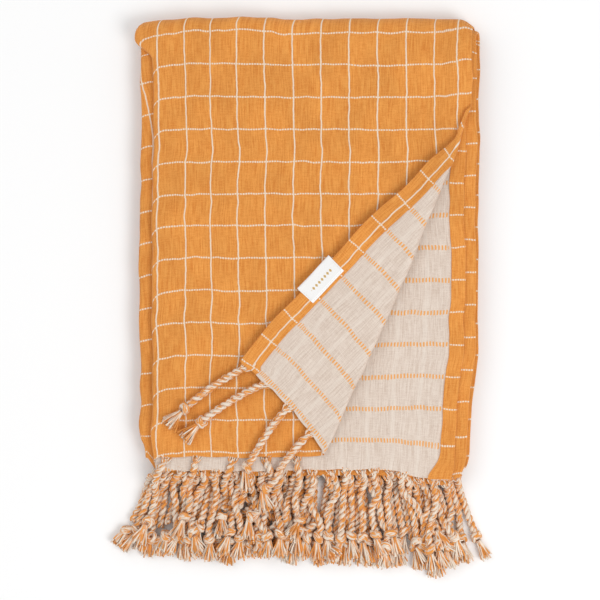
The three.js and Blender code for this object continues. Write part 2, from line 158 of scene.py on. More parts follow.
def settle(points):
    """The same smooth shift for every layer, so that neighbouring layers never cross."""
    p = np.array(points, float)
    x, y, z = p[:, 0].copy(), p[:, 1].copy(), p[:, 2].copy()
    height = np.clip(z / STACK_HEIGHT, 0, 1.6)

    # Soft ridges that run down the cloth, and slow hills between them.
    ridges = plane_noise(x / 34 + 0.25 * np.sin(y / 70), y / 150, 11)
    hills = plane_noise(x / 95, y / 95, 12)
    crinkle = plane_noise(x / 13, y / 42, 13)
    p[:, 2] += height * (1.1 * ridges + 0.9 * hills + 0.35 * crinkle)

    # The layers creep sideways and lengthwise by a little.
    p[:, 0] += 1.6 * plane_noise(x / 90, y / 60, 14) + 0.7 * plane_noise(x / 30, y / 22, 15)
    p[:, 1] += 1.3 * plane_noise(x / 45, y / 70, 16) * height
    p[:, 1] += 2.2 * plane_noise(x / 15, z / 40, 17) * ease((y + 50) / 60) * height
    p[:, 0] += 0.9 * plane_noise(y / 17, z / 9, 18)

    # The right side leans in towards the hem, and the lower corners are rounded.
    p[:, 0] -= 11 * ease((-y - 290) / 150) * ease((x - 180) / 140)
    p[:, 0] -= 6 * ease((-y - 415) / 35) ** 2 * ease((x - 300) / 22)
    p[:, 0] -= 1.2 * np.exp(-np.abs(x) / 16) * ease((z - 21.6) / 0.8)
    p[:, 0] += 7 * ease((-y - 395) / 50) * ease((20 - x) / 40)
    p[:, 1] -= 9 * ease((x - 235) / 55) * ease((-y - 380) / 60)
    p[:, 1] += 3 * ease((x - 305) / 20) ** 2 * ease((-y - 380) / 60)
    p[:, 1] += 19 * ease((5 - x) / 16) * ease((-y - 400) / 40)

    # The top corners droop.
    p[:, 1] -= 13 * np.exp(-(x + 16).clip(0) / 20) * ease((y + 40) / 45)
    p[:, 1] -= 9 * ease((x - 303) / 22) ** 2 * ease((y + 50) / 55)

    # The front quarter is twisted outwards where its left fold meets the top fold.
    from_axis = np.hypot(y.clip(0), z - TOP_AXIS)
    above = ease((from_axis - 6.8) / 1.0) * ease((z - 5) / 10)
    p[:, 0] -= fold_twist(x, y) * above
    return p


def fold_twist(x, y):
    """How far the front quarter reaches outwards near the top of its left fold."""
    return 18 * ease((y + 27) / 24) * np.exp(-np.abs(x) / 30)


# ---- Sections of the folded cloth ----

def arc(cx, cz, radius, start, end, steps=8):
    angles = np.radians(np.linspace(start, end, steps + 1))
    return np.column_stack([cx + radius * np.cos(angles), cz + radius * np.sin(angles)])


class Section:
    """The cloth's run through one quarter, from its first selvedge round to its second one.

    w is the distance along the cloth from the first selvedge, negative on the turned hem.
    """

    def __init__(self, quarter, flipped, shift, back_selvedge, panel_step, back_step):
        outer, inner = 1.5 * LAYER_PITCH, 0.5 * LAYER_PITCH
        left, right = outer + 0.75, PANEL_WIDTH - inner - 0.75
        hem = arc(SELVEDGE_X, outer - TURN, TURN, -90, 90, 4)
        back_hem = arc(back_selvedge, inner + TURN, TURN, -90, 90, 4)
        runs = [
            np.array([[SELVEDGE_X - SIDE_HEM, outer - 2 * TURN]]),
            hem,
            arc(left, 0, outer, 90, 270),
            arc(right, -LAYER_PITCH, inner, -90, 90, 6),
            arc(left, 0, inner, 270, 90, 6),
            back_hem,
            np.array([[back_selvedge - BACK_HEM, inner + 2 * TURN]]),
        ]
        steps = [4, panel_step, panel_step * 2, panel_step * 2, back_step, 4]
        points = [runs[0][0]]
        for i, run in enumerate(runs[1:]):
            joined = self.subdivided(points[-1], run[0], steps[i])
            points.extend(joined[1:])
            points.extend(run[1:])
        line = np.array(points)
        self.w = run_length(line) - (SIDE_HEM + math.pi * TURN)
        self.x = line[:, 0] + shift
        sign = -1 if flipped else 1
        self.z = quarter * QUARTER_PITCH + QUARTER_MIDDLE + sign * line[:, 1]

    @staticmethod
    def subdivided(start, end, step):
        count = max(1, math.ceil(np.linalg.norm(end - start) / step))
        return [start + (end - start) * i / count for i in range(count + 1)]

    def at(self, w):
        return np.interp(w, self.w, self.x), np.interp(w, self.w, self.z)


# ---- Building a sheet from its columns and rows ----

def grid_mesh(name, points, uv, flip=False):
    """A grid of points as faces, with the pattern coordinates in metres."""
    rows, columns = uv.shape[:2]
    index = np.arange(rows * columns).reshape(rows, columns)
    quads = np.stack([index[:-1, :-1], index[1:, :-1], index[1:, 1:], index[:-1, 1:]], axis=-1)
    if flip:
        quads = quads[..., ::-1]
    quads = quads.reshape(-1, 4)
    mesh = bpy.data.meshes.new(name)
    mesh.from_pydata(points, [], quads.tolist())
    layer = mesh.uv_layers.new(name="cloth")
    flat = uv.reshape(-1, 2)[quads.ravel()] * MM
    layer.data.foreach_set("uv", flat.ravel().astype(np.float32))
    return mesh


def sheet_mesh(name, positions, uv, materials, thickness=CLOTH, flip=False):
    """A grid of points (rows, columns, 3) as a cloth with a front and a back."""
    mesh = grid_mesh(name, place_in_frame(positions.reshape(-1, 3)), uv, flip)
    return finish_sheet(name, mesh, materials, thickness, flat_area(mesh))


def finish_sheet(name, mesh, materials, thickness, area):
    mesh.polygons.foreach_set("use_smooth", [True] * len(mesh.polygons))
    for material in materials:
        mesh.materials.append(material)
    obj = new_object(name, mesh)
    solid = obj.modifiers.new("thickness", "SOLIDIFY")
    solid.thickness = thickness * MM
    solid.offset = 0
    solid.material_offset = len(materials) - 1
    apply_modifiers(obj)
    obj["flat_area"] = area
    return obj


def apply_modifiers(obj):
    graph = bpy.context.evaluated_depsgraph_get()
    graph.update()
    mesh = bpy.data.meshes.new_from_object(obj.evaluated_get(graph))
    obj.modifiers.clear()
    obj.data = mesh
    mesh.set_sharp_from_angle(angle=math.radians(50))


# ---- Materials ----

class Graph:
    """Short calls for building one material's nodes."""

    def __init__(self, name):
        self.material = bpy.data.materials.new(name)
        self.material.use_nodes = True
        self.tree = self.material.node_tree
        self.shader = self.tree.nodes["Principled BSDF"]
        self.shader.inputs["Roughness"].default_value = 0.9
        self.shader.inputs["Specular IOR Level"].default_value = 0.15
        self.shader.inputs["Sheen Weight"].default_value = 0.12
        self.shader.inputs["Sheen Roughness"].default_value = 0.5

    def node(self, kind, *inputs, **settings):
        node = self.tree.nodes.new(kind)
        for key, value in settings.items():
            setattr(node, key, value)
        for socket, value in zip(node.inputs, inputs):
            if isinstance(value, bpy.types.NodeSocket):
                self.tree.links.new(value, socket)
            elif value is not None:
                socket.default_value = value
        return node

    def math(self, operation, *inputs):
        return self.node("ShaderNodeMath", *inputs, operation=operation).outputs[0]

    def ramp(self, value, low, high, to_low=0.0, to_high=1.0):
        node = self.node("ShaderNodeMapRange", value, low, high, to_low, to_high)
        node.interpolation_type = "SMOOTHSTEP"
        return node.outputs[0]

    def combine(self, x, y, z=0.0):
        return self.node("ShaderNodeCombineXYZ", x, y, z).outputs[0]

    def scaled(self, u, across, v, along, offset=0.0):
        """A place on the cloth scaled across and along, for a noise."""
        return self.combine(self.math("MULTIPLY", u, across), self.math("MULTIPLY", v, along),
                            offset)

    def noise(self, vector, detail=2.0):
        node = self.node("ShaderNodeTexNoise")
        self.tree.links.new(vector, node.inputs["Vector"])
        node.inputs["Scale"].default_value = 1.0
        node.inputs["Detail"].default_value = detail
        return node.outputs[0]

    def mix(self, share, a, b):
        node = self.node("ShaderNodeMix", data_type="RGBA")
        for key, value in (("Factor", share), ("A", a), ("B", b)):
            socket = next(s for s in node.inputs if s.name == key and s.enabled)
            if isinstance(value, bpy.types.NodeSocket):
                self.tree.links.new(value, socket)
            else:
                socket.default_value = value
        return next(s for s in node.outputs if s.enabled)

    def shade(self, colour, amount):
        """The colour made lighter or darker by a number around 1."""
        scale = self.node("ShaderNodeVectorMath", colour, operation="SCALE")
        self.tree.links.new(amount, scale.inputs["Scale"])
        return scale.outputs[0]

    def finish(self, colour, height, strength, distance=0.0006):
        self.tree.links.new(colour, self.shader.inputs["Base Color"])
        bumped = self.tree.nodes.new("ShaderNodeBump")
        bumped.inputs["Strength"].default_value = strength
        bumped.inputs["Distance"].default_value = distance
        self.tree.links.new(height, bumped.inputs["Height"])
        self.tree.links.new(bumped.outputs[0], self.shader.inputs["Normal"])
        return self.material


ORANGE = (0.86, 0.37, 0.085, 1)
ORANGE_DEEP = (0.66, 0.215, 0.035, 1)
DASH_ORANGE = (0.84, 0.38, 0.10, 1)
OFF_WHITE = (0.86, 0.76, 0.62, 1)
NATURAL = (0.80, 0.69, 0.60, 1)
NATURAL_PALE = (0.84, 0.75, 0.66, 1)
NATURAL_DEEP = (0.62, 0.49, 0.40, 1)


def pattern_place(g):
    """The pattern's millimetres across and along."""
    uv = g.node("ShaderNodeUVMap", uv_map="cloth").outputs[0]
    parts = g.node("ShaderNodeSeparateXYZ", uv).outputs
    return g.math("MULTIPLY", parts[0], 1000.0), g.math("MULTIPLY", parts[1], 1000.0)


def cloth_coordinates(g):
    """The cloth's own millimetres across (u) and along (v), with the yarns' small wander."""
    u, v = pattern_place(g)
    wander_u = g.noise(g.scaled(u, 0.05, v, 0.09))
    wander_v = g.noise(g.scaled(u, 0.055, v, 0.04, 7.0))
    shifted_u = g.math("MULTIPLY_ADD", g.math("SUBTRACT", wander_u, 0.5), 2.0, u)
    shifted_v = g.math("MULTIPLY_ADD", g.math("SUBTRACT", wander_v, 0.5), 4.2, v)
    return u, v, shifted_u, shifted_v


def line_distance(g, value, first, pitch):
    """Distance to the nearest of the evenly spaced lines."""
    half = pitch / 2
    moved = g.math("ADD", value, half - first + 100 * pitch)
    return g.math("ABSOLUTE", g.math("SUBTRACT", g.math("MODULO", moved, pitch), half))


def yarn_grain(g, u, v):
    """Fine streaks along both yarn directions, around 0.5."""
    along = g.noise(g.scaled(u, 0.80, v, 0.05), 3.0)
    across = g.noise(g.scaled(u, 0.12, v, 0.85, 3.0), 2.0)
    fine = g.noise(g.scaled(u, 1.3, v, 1.1, 5.0), 1.0)
    both = g.math("MULTIPLY_ADD", across, 0.40, g.math("MULTIPLY", along, 0.90))
    return g.math("MULTIPLY_ADD", fine, 0.5, both)


def weave_height(g, grain, u, v):
    """Plain weave under the grain: small domes at the yarn crossings, 1.25 mm apart."""
    turn = 2 * math.pi / 1.25
    across = g.math("SINE", g.math("MULTIPLY", u, turn))
    along = g.math("SINE", g.math("MULTIPLY", v, turn))
    domes = g.math("MULTIPLY", g.math("MULTIPLY", across, along), 0.5)
    return g.math("MULTIPLY_ADD", grain, 1.6, domes)


def check_material():
    """The orange face with its off-white check: solid warp lines and dotted weft lines."""
    g = Graph("check_cloth_front")
    u, v, line_u, line_v = cloth_coordinates(g)
    grain = yarn_grain(g, u, v)
    mottle = g.noise(g.scaled(u, 0.03, v, 0.02, 11.0))
    base = g.mix(g.ramp(grain, 0.60, 1.15), ORANGE_DEEP, ORANGE)
    base = g.shade(base, g.ramp(mottle, 0.25, 0.75, 0.93, 1.06))

    warp = g.ramp(line_distance(g, line_u, FIRST_WARP, WARP_PITCH), 0.35, 1.0, 1.0, 0.0)
    warp = g.math("MULTIPLY", warp, g.ramp(grain, 0.5, 1.0, 0.62, 0.92))
    weft = g.ramp(line_distance(g, line_v, FIRST_WEFT, WEFT_PITCH), 0.45, 1.05, 0.95, 0.0)
    dots = g.math("SINE", g.math("MULTIPLY", line_u, 2 * math.pi / 2.6))
    weft = g.math("MULTIPLY", weft, g.ramp(dots, -0.75, 0.3, 0.25, 1.0))
    lines = g.math("MAXIMUM", warp, weft)
    colour = g.mix(lines, base, OFF_WHITE)

    height = weave_height(g, grain, u, v)
    height = g.math("MULTIPLY_ADD", lines, 0.5, height)
    return g.finish(colour, height, 0.55)


def reverse_material():
    """The natural reverse, with dashes where the orange warp floats over the line yarns."""
    g = Graph("check_cloth_reverse")
    u, v, line_u, line_v = cloth_coordinates(g)
    grain = yarn_grain(g, u, v)
    base = g.mix(g.ramp(grain, 0.60, 1.15), NATURAL_DEEP, NATURAL)
    pale = g.ramp(line_distance(g, line_u, FIRST_WARP, WARP_PITCH), 0.5, 3.5, 0.35, 0.0)
    base = g.mix(pale, base, NATURAL_PALE)

    ragged = g.noise(g.scaled(u, 0.45, v, 0.03, 4.0))
    reach = g.math("MULTIPLY_ADD", g.math("SUBTRACT", ragged, 0.5), -2.2,
                   line_distance(g, line_v, FIRST_WEFT, WEFT_PITCH))
    row = g.ramp(reach, 1.9, 2.6, 1.0, 0.0)
    dash = g.ramp(g.math("SINE", g.math("MULTIPLY", line_u, 2 * math.pi / 3.3)), -0.25, 0.25)
    broken = g.noise(g.scaled(u, 0.30, v, 0.02, 2.0))
    dash = g.math("MULTIPLY", dash, g.ramp(broken, 0.25, 0.4, 0.35, 0.97))
    mask = g.math("MULTIPLY", row, dash)
    colour = g.mix(mask, base, DASH_ORANGE)

    height = weave_height(g, grain, u, v)
    return g.finish(colour, height, 0.5)


def fringe_material():
    """Two-ply yarn of orange and natural threads. Each fibre point carries its place on the
    yarn: across it, along it and the yarn's own number, in millimetres."""
    g = Graph("twisted_fringe")
    fibre = g.node("ShaderNodeAttribute", attribute_name="fibre").outputs["Vector"]
    parts = g.node("ShaderNodeSeparateXYZ", fibre).outputs
    across, along, number = parts[0], parts[1], parts[2]
    fleck_place = g.combine(
        g.math("MULTIPLY", across, 0.34), g.math("MULTIPLY", along, 0.145),
        g.math("MULTIPLY", number, 3.7),
    )
    fleck = g.noise(fleck_place, 1.0)
    thread_place = g.combine(
        g.math("MULTIPLY", across, 2.2), g.math("MULTIPLY", along, 0.25),
        g.math("MULTIPLY", number, 5.1),
    )
    thread = g.noise(thread_place, 2.0)
    share = g.ramp(g.math("MULTIPLY_ADD", thread, 0.30, fleck), 0.57, 0.71)
    colour = g.mix(share, (0.80, 0.325, 0.075, 1), (0.83, 0.72, 0.60, 1))
    colour = g.shade(colour, g.ramp(thread, 0.25, 0.7, 0.80, 1.08))
    return g.finish(colour, thread, 0.8)


def label_material():
    """A smooth woven tape with a satin border and a plain stripe."""
    g = Graph("label_weave")
    u, v = pattern_place(g)
    rib = g.math("SINE", g.math("MULTIPLY", u, 2 * math.pi / 0.7))
    thread = g.noise(g.scaled(u, 0.5, v, 2.5))
    base = g.mix(g.ramp(thread, 0.3, 0.7), (0.80, 0.79, 0.78, 1), (0.87, 0.86, 0.85, 1))
    border = g.ramp(g.math("ABSOLUTE", g.math("SUBTRACT", u, 1.4)), 1.3, 1.6, 1.0, 0.0)
    colour = g.mix(border, base, (0.93, 0.93, 0.93, 1))
    dots = g.math("SINE", g.math("MULTIPLY", v, 2 * math.pi / 4.2))
    from_stripe = g.math("ABSOLUTE", g.math("SUBTRACT", u, 10.5))
    diamond = g.math("MULTIPLY_ADD", dots, -1.1, from_stripe)
    stripe = g.ramp(diamond, 0.55, 0.85, 1.0, 0.0)
    ends = g.ramp(g.math("ABSOLUTE", v), 14.6, 15.0, 1.0, 0.0)
    gold = g.math("MULTIPLY", stripe, ends)
    colour = g.mix(gold, colour, (0.56, 0.37, 0.14, 1))
    g.shader.inputs["Roughness"].default_value = 0.55
    return g.finish(colour, g.math("MULTIPLY_ADD", rib, 0.3, thread), 0.25, 0.0003)


def thread_material():
    g = Graph("sewing_thread")
    place = g.node("ShaderNodeTexCoord").outputs["Object"]
    twist = g.noise(g.node("ShaderNodeVectorMath", place, (2500, 2500, 2500),
                           operation="MULTIPLY").outputs[0])
    colour = g.mix(twist, (0.72, 0.69, 0.63, 1), (0.88, 0.86, 0.81, 1))
    return g.finish(colour, twist, 0.5, 0.0001)


CHECK = check_material()
REVERSE = reverse_material()
FRINGE = fringe_material()
LABEL = label_material()
THREAD = thread_material()
CLOTH_FACES = [CHECK, REVERSE]


# ---- The weave's place on the cloth ----

def cloth_uv(w, v, slip):
    """The pattern's coordinates at w across and v along the cloth."""
    w, v = np.broadcast_arrays(np.asarray(w, float), np.asarray(v, float))
    # The first panel is a little crowded beside its selvedge, and drops towards its left fold.
    u = w + 5 * ease((w - 16) / 22) + 3.7 * ease((w - 240) / 60)
    u = u + 11 * ease((w - 400) / 60) - 13 * ease((w - 900) / 50)
    drop = 6 * np.exp(-np.abs(w - SELVEDGE_X) / 11) * (w > 150)
    back_slip = 7.3 * ease((w - 960) / 40)
    sag = 9 * ease((v - 300) / 130) * np.exp(-w.clip(0) / 22)
    return np.stack([u, v + slip + drop + back_slip - sag], axis=-1)


# ---- The front quarter, with its corner turned back ----

FRONT = Section(3, False, SHIFTS["front"], BACK_SELVEDGE_X, 3.2, 3.6)
FRONT_Z = 3 * QUARTER_PITCH + QUARTER_MIDDLE + 1.5 * LAYER_PITCH
LEFT_ARC_X = 1.5 * LAYER_PITCH + 0.75
CORNER_S = float((np.array([SELVEDGE_X, FRONT_HEM_Y]) - CREASE_TOP) @ ALONG)
CORNER_D = float((np.array([SELVEDGE_X, FRONT_HEM_Y]) - CREASE_TOP) @ PAST)
TARGET_S = float((CORNER_TARGET - CREASE_TOP) @ ALONG)
TARGET_D = -float((CORNER_TARGET - CREASE_TOP) @ PAST)
CREASE_LENGTH = float(np.linalg.norm(CREASE_FOOT - CREASE_TOP))
ROLL_START = -2.0
GREATEST_ROLL = 4.2  # the crease's largest radius


def roll_radius(s):
    return 1.0 + 3.2 * ease(s / 110) - 0.9 * ease((s - 300) / 90)


def crease_place(x, y):
    """Distances along and past the crease."""
    dx, dy = x - CREASE_TOP[0], y - CREASE_TOP[1]
    return dx * ALONG[0] + dy * ALONG[1], dx * PAST[0] + dy * PAST[1]


def front_layer(x, y, h):
    """The front layer's flat cloth, h above its middle, folded over the crease."""
    s, d = crease_place(x, y)
    radius = roll_radius(s)
    roll = math.pi * radius
    near = ease((x - 280) / 18)
    base = FRONT_Z + 0.9 * near + 2.0 * np.exp(np.minimum(d, 0) / 16) * ease(s / 90)

    turned = np.clip(d, 0, roll)
    angle = turned / radius
    outwards = (radius - h) * np.sin(angle)
    z = base + radius * (1 - np.cos(angle)) + h * np.cos(angle)

    # Past the roll the cloth lies back over the front layer.
    beyond = (d - roll).clip(0)
    fraction = (s / CORNER_S).clip(0, 1.4)
    edge = np.maximum(CORNER_D * fraction - roll, 1.0)
    target_edge = TARGET_D * fraction
    hollow = 10.5 * bump(fraction, 0.11, 0.13) + 6.5 * bump(fraction, 0.27, 0.2)
    swell = 4.5 * bump(fraction, 0.86, 0.2)
    scale = (target_edge - hollow + swell).clip(1.5) / edge
    scale = np.where(fraction > 1.0, (TARGET_D / (CORNER_D - math.pi * 3.3)), scale)
    back = beyond * np.minimum(scale, 1.15)
    share = (beyond / np.maximum(edge, 8)).clip(0, 1.1)
    slide = (TARGET_S - CORNER_S) * (beyond / CORNER_D)

    # The hem's edge is drawn in a little between its ends.
    hem = (y - FRONT_HEM_Y).clip(0)
    along_hem = ((x - CREASE_FOOT[0]) / (SELVEDGE_X - CREASE_FOOT[0])).clip(0, 1)
    drawn = 7 * np.sin(math.pi * along_hem) * np.exp(-hem / 45) * (beyond > 0)

    wave = plane_noise(s / 46, beyond / 60 + 3, 21) + 0.6 * plane_noise(s / 21, beyond / 30, 22)
    lower = (2 * radius - 4.6) * ease(share / 0.85)
    tip = 1.6 * ease((share - 0.6) / 0.4) * ease((fraction - 0.75) / 0.25)
    z = z - np.where(beyond > 0, lower + tip - 1.5 * wave * ease(beyond / 14), 0)

    on_flap = beyond > 0
    across = np.where(on_flap, -back, np.where(d > 0, outwards, d))
    s = s + np.where(on_flap, slide, 0)
    bow = 2.5 * np.sin(math.pi * (s / CREASE_LENGTH).clip(0, 1))
    across = across + bow * (d > -40) * ease((d + 40) / 40)
    px = CREASE_TOP[0] + s * ALONG[0] + across * PAST[0]
    py = CREASE_TOP[1] + s * ALONG[1] + across * PAST[1]
    px = px + drawn * 0.72
    py = py + drawn * 0.69
    return np.stack([px, py, z], axis=-1)


def hem_length(w):
    """Where the quarter's hem lies: the front layer's is higher than the other three's."""
    return FRONT_HEM_Y + (LAYER_HEM_Y - FRONT_HEM_Y) * ease((w - 312) / 16)


def scallop(w):
    """The hem is drawn up at each tassel and hangs a little lower between them."""
    return 1.3 * np.abs(np.sin(math.pi * (w - TASSEL_PITCH / 2) / TASSEL_PITCH))


def front_point(flat):
    """Flat plan points (x, y, h) of the front quarter's cloth to its folded place."""
    x, y, h = flat[:, 0], flat[:, 1], flat[:, 2]
    top = x >= LEFT_ARC_X
    out = np.empty((len(flat), 3))
    out[top] = front_layer(x[top], y[top], h[top])
    section_x, section_z = FRONT.at(SELVEDGE_X - x[~top])
    # The turned hem of the other selvedge is folded wider at the corner.
    turned = ((SELVEDGE_X - x[~top] - FRONT.w[-1] + BACK_HEM) / BACK_HEM).clip(0, 1)
    section_x = section_x - 12 * turned * ease((-y[~top] - 412) / 28) ** 1.5
    out[~top] = np.stack([section_x, y[~top], section_z], axis=-1)
    return settle(out)


def front_grid():
    """The front quarter's flat cloth, as (flat points, pattern coordinates)."""
    w = FRONT.w
    rows = spread(LAYER_HEM_Y, 0, 3.4)
    hem_count = int(np.argmin(np.abs(w)))
    x = SELVEDGE_X - w
    h = np.zeros(len(w))
    x[: hem_count + 1] = FRONT.x[: hem_count + 1]
    h[: hem_count + 1] = FRONT.z[: hem_count + 1] - FRONT_Z
    grid_w, grid_y = np.meshgrid(w, rows)
    near_hem = ease(1 - (grid_y - LAYER_HEM_Y) / 30)
    y = grid_y * hem_length(grid_w) / LAYER_HEM_Y - scallop(grid_w) * near_hem
    grid_x, grid_h = np.broadcast_to(x, y.shape), np.broadcast_to(h, y.shape)
    uv = cloth_uv(grid_w, y - hem_length(grid_w), 0)
    # The check runs straight on where the cloth is twisted outwards.
    uv[..., 0] += fold_twist(SELVEDGE_X - grid_w, y)
    return np.stack([grid_x, y, grid_h], axis=-1), uv


def cut_at(bm, distance):
    """Cuts the flat cloth along a line parallel to the crease."""
    point = CREASE_TOP + PAST * distance
    geometry = bm.verts[:] + bm.edges[:] + bm.faces[:]
    bmesh.ops.bisect_plane(bm, geom=geometry, plane_co=(point[0], point[1], 0),
                           plane_no=(PAST[0], PAST[1], 0), dist=1e-4)


def front_pieces():
    """The front quarter as three pieces: its flat part, the crease and the turned corner."""
    flat, uv = front_grid()
    mesh = grid_mesh("front_flat", flat.reshape(-1, 3), uv)
    bm = bmesh.new()
    bm.from_mesh(mesh)
    roll_end = math.pi * GREATEST_ROLL + 1.0
    for distance in spread(ROLL_START, roll_end, 1.2):
        cut_at(bm, distance)
    pieces = []
    limits = [("blanket_front", -1e6, ROLL_START), ("blanket_crease", ROLL_START, roll_end),
              ("blanket_corner", roll_end, 1e6)]
    for name, low, high in limits:
        part = bm.copy()
        outside = []
        for face in part.faces:
            centre = face.calc_center_median()
            d = (Vector((centre.x, centre.y)) - Vector(CREASE_TOP)) @ Vector(PAST)
            if not low <= d <= high:
                outside.append(face)
        bmesh.ops.delete(part, geom=outside, context="FACES")
        piece = bpy.data.meshes.new(name)
        part.to_mesh(piece)
        part.free()
        co = np.empty(len(piece.vertices) * 3)
        piece.vertices.foreach_get("co", co)
        flat_co = co.reshape(-1, 3)
        area = flat_area(piece)
        piece.vertices.foreach_set("co", place_in_frame(front_point(flat_co)).ravel())
        pieces.append(finish_sheet(name, piece, CLOTH_FACES, CLOTH, area))
    bm.free()
    return pieces


def flat_area(mesh):
    """The cloth's own area in square metres, from its pattern coordinates."""
    uv = np.empty(len(mesh.loops) * 2)
    mesh.uv_layers["cloth"].data.foreach_get("uv", uv)
    uv = uv.reshape(-1, 2)
    total = 0.0
    for polygon in mesh.polygons:
        ring = uv[polygon.loop_start: polygon.loop_start + polygon.loop_total]
        following = np.roll(ring, -1, axis=0)
        total += abs(float(np.sum(ring[:, 0] * following[:, 1] - ring[:, 1] * following[:, 0]))) / 2
    return total


# ---- The other quarters and the folds ----

def quarter_rows(section, hem_y, slip, step):
    """Positions and pattern coordinates of a quarter that lies flat."""
    rows = spread(hem_y, 0, step)
    w, y = np.meshgrid(section.w, rows)
    y = y - scallop(w) * ease(1 - (y - hem_y) / 30)
    x, z = np.broadcast_to(section.x, y.shape), np.broadcast_to(section.z, y.shape)
    return np.stack([x, y, z], axis=-1), cloth_uv(w, y - hem_y, slip)


OUTER_TURN = 10 * math.pi  # length of cloth in a half turn: the middle of the four layers
INNER_TURN = 3.6 * math.pi


def fold_rows(section, other_x, axis_z, centre_y, sign, start_v, slip, steps, turn):
    """A quarter's section carried half a turn about a fold's axis, to the quarter below."""
    share = np.linspace(0, 1, steps + 1)
    w, t = np.meshgrid(section.w, share)
    radius = np.broadcast_to(section.z - axis_z, w.shape)
    x = section.x + (other_x - section.x) * ease(t)
    y = centre_y + sign * radius * np.sin(math.pi * t)
    z = axis_z + radius * np.cos(math.pi * t)
    v = start_v + sign * turn * t
    return np.stack([x, y, z], axis=-1), cloth_uv(w, v, slip)


def build_sheet(name, grids, flip=False):
    positions = np.concatenate([grids[0][0]] + [g[0][1:] for g in grids[1:]])
    uv = np.concatenate([grids[0][1]] + [g[1][1:] for g in grids[1:]])
    shape = positions.shape
    settled = settle(positions.reshape(-1, 3)).reshape(shape)
    return sheet_mesh(name, settled, uv, CLOTH_FACES, flip=flip)


SECOND = Section(2, True, SHIFTS["second"], HIDDEN_SELVEDGE_X, 8, 12)
THIRD = Section(1, False, SHIFTS["third"], HIDDEN_SELVEDGE_X, 8, 12)
BACK = Section(0, True, SHIFTS["back"], HIDDEN_SELVEDGE_X, 8, 12)


SECOND_SLIP = -5.5


def second_skew(y):
    """The second quarter's cloth lies a little askew, so that its lines slant at the fold."""
    return 5.8 + 14 * ease((-y - 18) / 102) + 4 * ease((-y - 120) / 200)


def main_pieces():
    front, crease, corner = front_pieces()
    second_rows = quarter_rows(SECOND, SECOND_HEM_Y, SECOND_SLIP, 5)
    second_rows[1][..., 0] -= second_skew(second_rows[0][..., 1])
    second = build_sheet("blanket_second", [second_rows], flip=True)

    # The outer fold carries the front quarter's own columns, so that the two meet.
    outer = fold_rows(FRONT, FRONT.x + SHIFTS["back"], TOP_AXIS, 0, 1, -FRONT_HEM_Y, 0, 14,
                      OUTER_TURN)
    lift = 0.9 * ease((FRONT.x - 280) / 18) * (FRONT.w < 310)
    outer[0][..., 2] += lift * (1 - np.linspace(0, 1, 15)[:, None])
    outer[1][..., 0] += fold_twist(SELVEDGE_X - FRONT.w, 0.0)
    outer_fold = build_sheet("blanket_outer_fold", [outer])

    inner = fold_rows(SECOND, SECOND.x + SHIFTS["third"] - SHIFTS["second"], TOP_AXIS, 0, 1,
                      -SECOND_HEM_Y, SECOND_SLIP, 12, INNER_TURN)
    inner[1][..., 0] -= second_skew(0)
    inner_fold = build_sheet("blanket_inner_fold", [inner], flip=True)

    third = quarter_rows(THIRD, HIDDEN_END_Y, 12, 5)
    third = (third[0][::-1], third[1][::-1])
    bottom = fold_rows(THIRD, THIRD.x + SHIFTS["back"] - SHIFTS["third"], BOTTOM_AXIS,
                       HIDDEN_END_Y, -1, 0, 12, 12, INNER_TURN)
    back = quarter_rows(BACK, HIDDEN_END_Y, 26, 5)
    lower = build_sheet("blanket_lower", [third, bottom, back], flip=True)
    return {"front": front, "crease": crease, "corner": corner, "second": second,
            "outer": outer_fold, "inner": inner_fold, "lower": lower}


# ---- The label ----

LABEL_FROM, LABEL_TO = -287.0, -333.0  # along the selvedge, in the flat cloth
LABEL_DEPTH = 17
LABEL_OVERHANG = 6
LABEL_THICKNESS = 0.45


def label_section():
    """The label's run round the selvedge, as (x, h): over the hem, round, and underneath."""
    over, under = -(2 * TURN + CLOTH + 0.1), CLOTH + 0.05
    edge = SELVEDGE_X + LABEL_OVERHANG
    top = [(x, over) for x in spread(SELVEDGE_X - LABEL_DEPTH, edge - 1.2, 2)]
    turn = [(edge - 0.4, over + 0.3), (edge, (over + under) / 2), (edge - 0.4, under - 0.3)]
    below = [(x, under) for x in spread(edge - 1.2, SELVEDGE_X - LABEL_DEPTH, 2)]
    return np.array(top + turn + below)


def label_piece():
    section = label_section()
    rows = spread(LABEL_FROM, LABEL_TO, 2)
    length = run_length(section)
    flat = np.array([[(x, y, h) for x, h in section] for y in rows])
    middle = (LABEL_FROM + LABEL_TO) / 2
    uv = np.array([[(u, y - middle) for u in length] for y in rows])
    placed = front_point(flat.reshape(-1, 3)).reshape(flat.shape)
    return sheet_mesh("label", placed, uv, [LABEL], LABEL_THICKNESS, flip=True)


# ---- Tubes: threads, yarns and stitches ----

